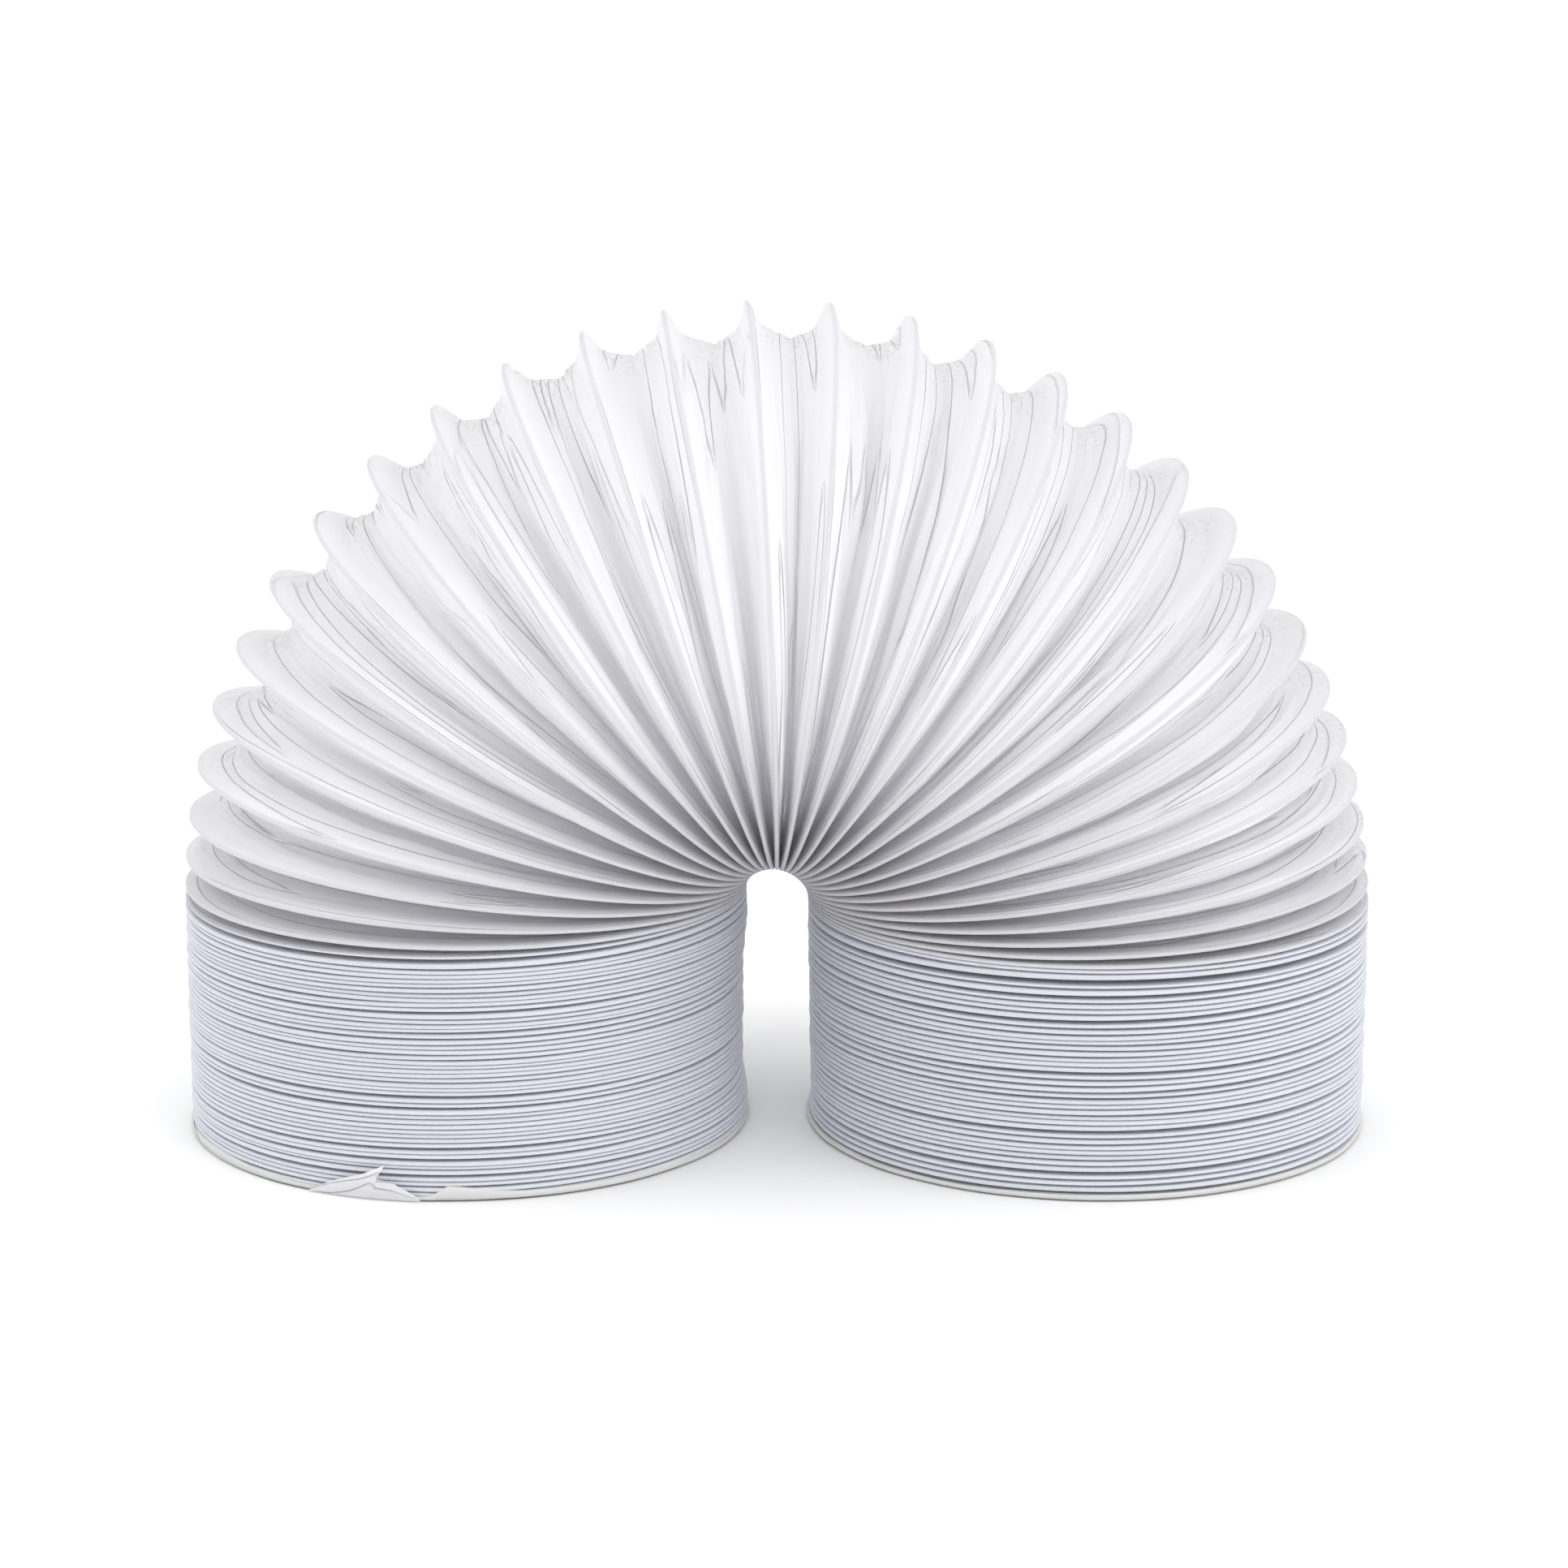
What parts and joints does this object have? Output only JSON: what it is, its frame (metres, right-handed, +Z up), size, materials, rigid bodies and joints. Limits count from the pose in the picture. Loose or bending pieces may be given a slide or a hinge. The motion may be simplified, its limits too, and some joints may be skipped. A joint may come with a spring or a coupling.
{
  "type": "flexible air duct hose",
  "caption": "Flexible pleated film duct hose with a helical wire rib, standing as an arch on its two compressed ends.",
  "frame": {"origin": "on the floor, midway between the two closed ends, at the centre of the box round the part", "axes": "+X from the taller closed end to the shorter one, +Z up, +Y away from the viewer of the picture"},
  "size_m": [0.3226, 0.153, 0.2242],
  "materials": {
    "white_film": "satin white soft film, slightly see-through where it is one fold deep"
  },
  "bodies": {
    "root": {"duct_hose": "white_film"}
  },
  "joints": []
}
